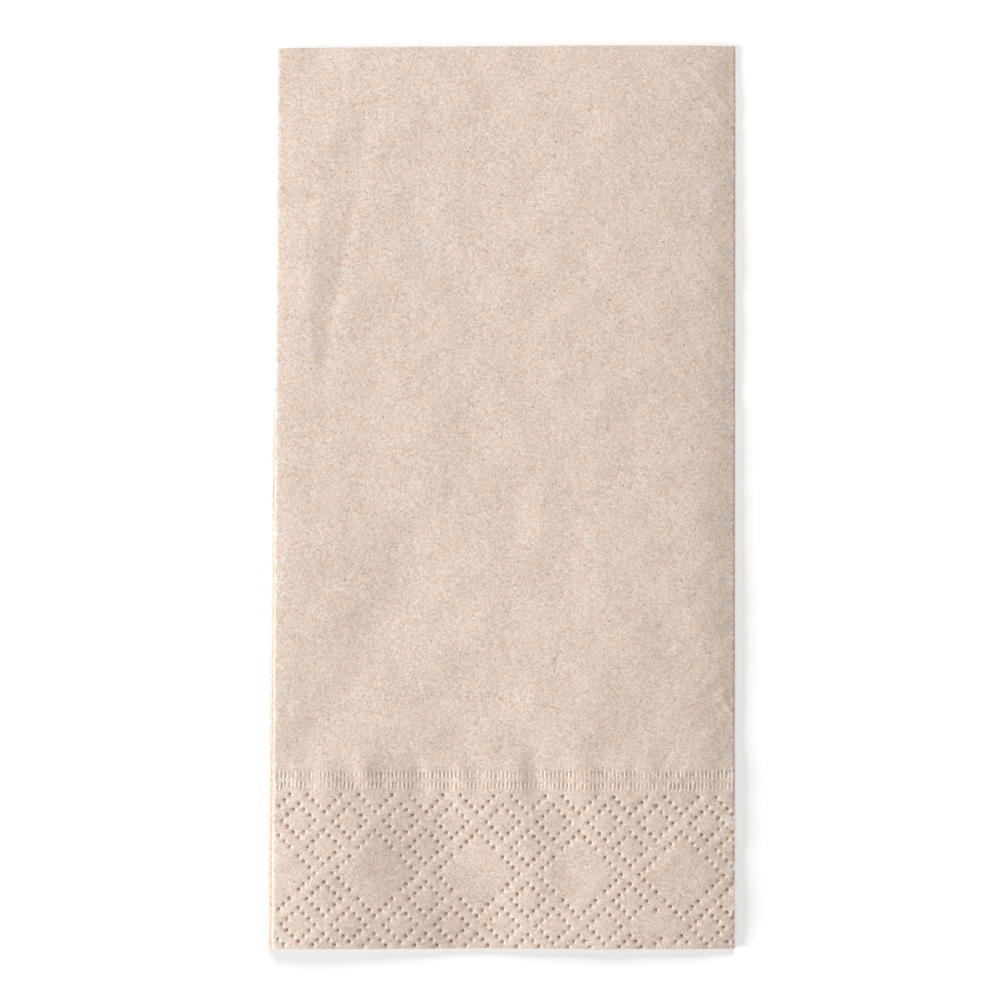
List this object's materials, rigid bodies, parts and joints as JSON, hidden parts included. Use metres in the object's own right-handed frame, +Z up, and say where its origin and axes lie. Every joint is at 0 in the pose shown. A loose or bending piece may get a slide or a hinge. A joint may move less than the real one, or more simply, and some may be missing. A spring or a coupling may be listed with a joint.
{
  "type": "paper napkin",
  "caption": "Square tissue napkin of unbleached brown paper, folded into a flat oblong, with an embossed border of dotted diamonds under ribbed lines.",
  "frame": {"origin": "on the table, at the middle of the napkin's footprint", "axes": "+Z up out of the front panel, +X to the side fold, +Y from the cut edges to the lengthwise fold"},
  "size_m": [0.1032, 0.2, 0.0032],
  "materials": {
    "tissue": "matt unbleached tissue, soft and fibrous"
  },
  "bodies": {
    "root": {"napkin": "tissue"}
  },
  "joints": []
}
